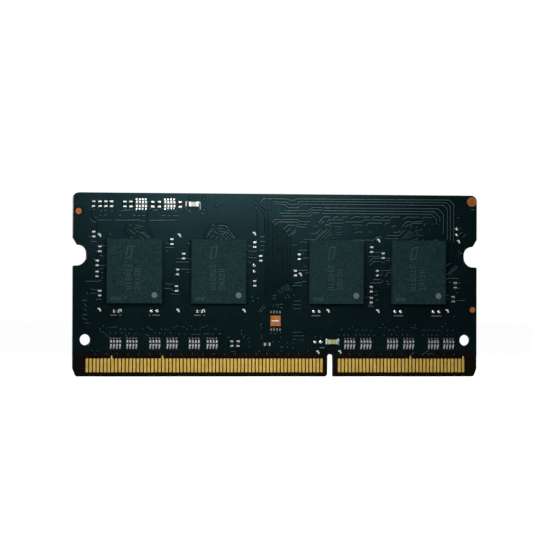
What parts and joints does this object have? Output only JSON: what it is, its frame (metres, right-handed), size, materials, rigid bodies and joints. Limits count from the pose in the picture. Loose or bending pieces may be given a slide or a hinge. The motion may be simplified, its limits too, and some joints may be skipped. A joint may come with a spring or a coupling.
{
  "type": "memory module",
  "caption": "Thin dark circuit board with memory packages on both faces, a notched row of gold edge contacts along one long side, and a latch notch in each short side.",
  "frame": {"origin": "middle of the contact edge, at the middle of the board's thickness", "axes": "+X along the board's length, +Z from the contact edge to the opposite edge, -Y out of the front face"},
  "size_m": [0.0676, 0.0032, 0.03],
  "materials": {
    "laminate": "satin glass-fibre board, cut edges",
    "solder_mask": "very dark blue-green gloss film",
    "gold": "gold plating over copper, satin",
    "copper": "bare copper, satin",
    "solder": "tin solder, bright",
    "tin_ends": "tinned metal ends",
    "mould_compound": "matt black epoxy, fine grain",
    "package_substrate": "thin green laminate",
    "silicon": "polished silicon",
    "capacitor_ceramic": "brown ceramic",
    "pale_ceramic": "pale grey ceramic",
    "olive_ceramic": "olive-tan ceramic",
    "resistor_glaze": "black glaze"
  },
  "bodies": {
    "root": {"board_laminate": "laminate", "front_array_bodies": "resistor_glaze", "front_array_ends": "tin_ends", "front_capacitor_bodies": "capacitor_ceramic", "front_chip_ends": "tin_ends", "front_dram_1_balls": "solder", "front_dram_1_die": "silicon", "front_dram_1_mould": "mould_compound", "front_dram_1_substrate": "package_substrate", "front_dram_2_balls": "solder", "front_dram_2_die": "silicon", "front_dram_2_mould": "mould_compound", "front_dram_2_substrate": "package_substrate", "front_dram_3_balls": "solder", "front_dram_3_die": "silicon", "front_dram_3_mould": "mould_compound", "front_dram_3_substrate": "package_substrate", "front_dram_4_balls": "solder", "front_dram_4_die": "silicon", "front_dram_4_mould": "mould_compound", "front_dram_4_substrate": "package_substrate", "front_fiducials": "copper", "front_long_contacts": "gold", "front_resistor_bodies": "resistor_glaze", "front_short_contacts": "gold", "front_solder_joints": "solder", "front_solder_lands": "solder", "front_solder_mask": "solder_mask", "olive_capacitor_body": "olive_ceramic", "pale_capacitor_body": "pale_ceramic", "rear_array_bodies": "resistor_glaze", "rear_array_ends": "tin_ends", "rear_capacitor_bodies": "capacitor_ceramic", "rear_chip_ends": "tin_ends", "rear_dram_1_balls": "solder", "rear_dram_1_die": "silicon", "rear_dram_1_mould": "mould_compound", "rear_dram_1_substrate": "package_substrate", "rear_dram_2_balls": "solder", "rear_dram_2_die": "silicon", "rear_dram_2_mould": "mould_compound", "rear_dram_2_substrate": "package_substrate", "rear_dram_3_balls": "solder", "rear_dram_3_die": "silicon", "rear_dram_3_mould": "mould_compound", "rear_dram_3_substrate": "package_substrate", "rear_dram_4_balls": "solder", "rear_dram_4_die": "silicon", "rear_dram_4_mould": "mould_compound", "rear_dram_4_substrate": "package_substrate", "rear_fiducials": "copper", "rear_long_contacts": "gold", "rear_resistor_bodies": "resistor_glaze", "rear_short_contacts": "gold", "rear_solder_joints": "solder", "rear_solder_lands": "solder", "rear_solder_mask": "solder_mask", "settings_memory_body": "mould_compound", "spare_footprint_pad": "copper", "spare_footprint_solder": "solder"}
  },
  "joints": []
}
